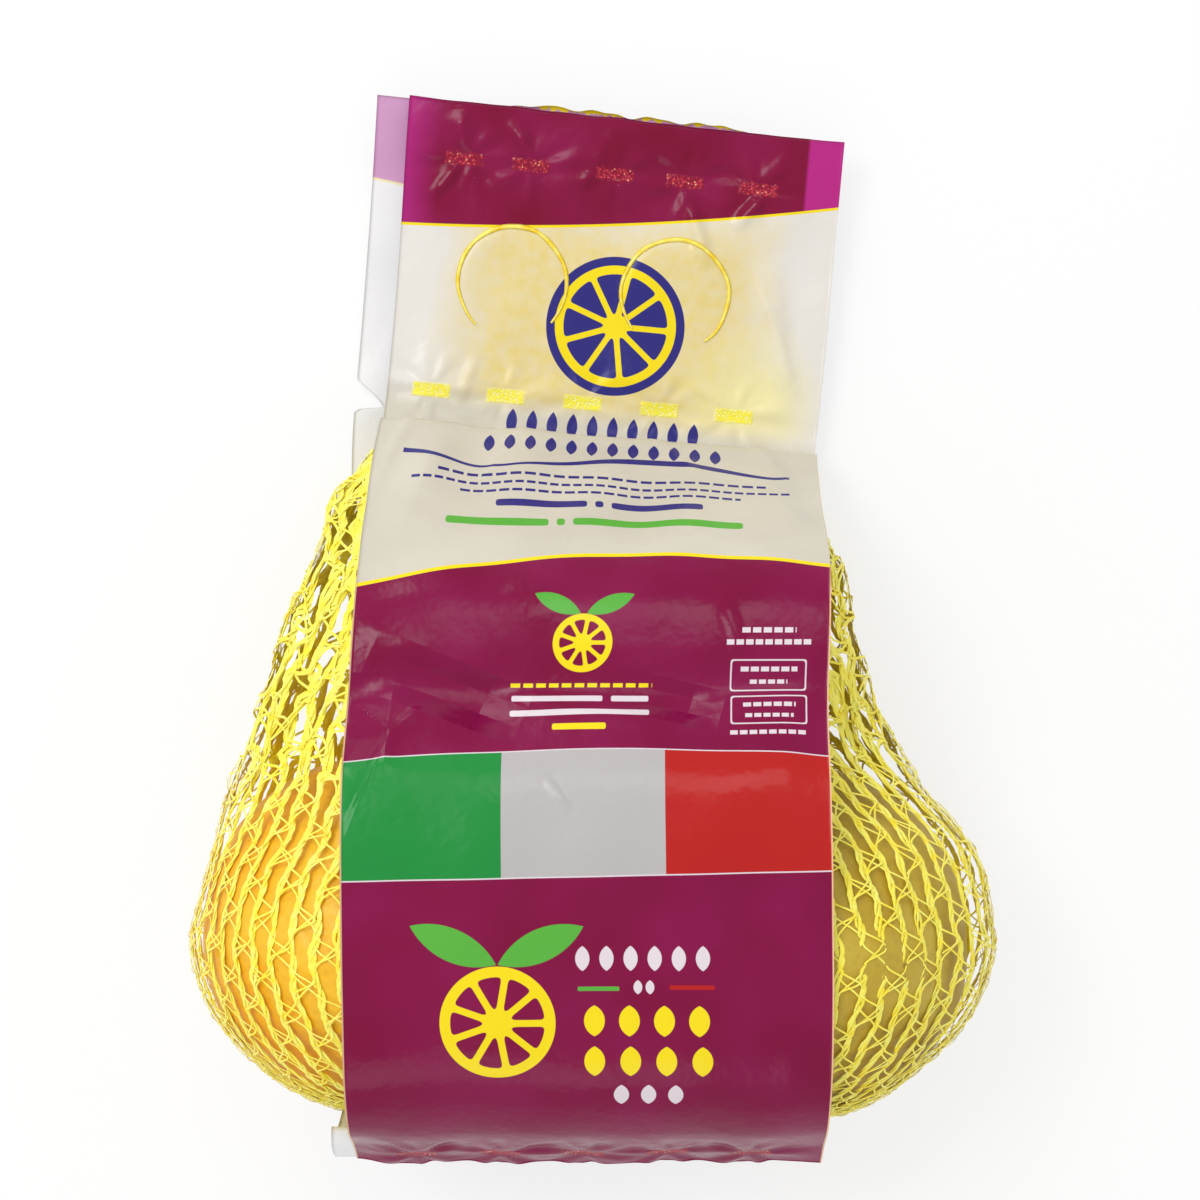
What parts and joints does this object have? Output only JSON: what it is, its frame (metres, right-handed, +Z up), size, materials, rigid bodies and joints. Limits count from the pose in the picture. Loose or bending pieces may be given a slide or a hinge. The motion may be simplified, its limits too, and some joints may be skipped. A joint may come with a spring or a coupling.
{
  "type": "net of lemons",
  "caption": "Lemons in a yellow knitted net bag with printed film bands front and back and a flat hang header, lying on its back.",
  "frame": {"origin": "middle of the footprint box, on the surface that the pack lies on", "axes": "+Z up through the printed front, +Y along the pack to its hang header, +X to the right seen from above with the header away"},
  "size_m": [0.1562, 0.2134, 0.072],
  "materials": {
    "net": "yellow knitted plastic net over lemons",
    "front_film": "thin printed plastic film, satin gloss",
    "back_film": "thin milky plastic film, satin gloss"
  },
  "bodies": {
    "root": {"filled_net": "net", "front_band": "front_film", "back_band": "back_film"}
  },
  "joints": []
}
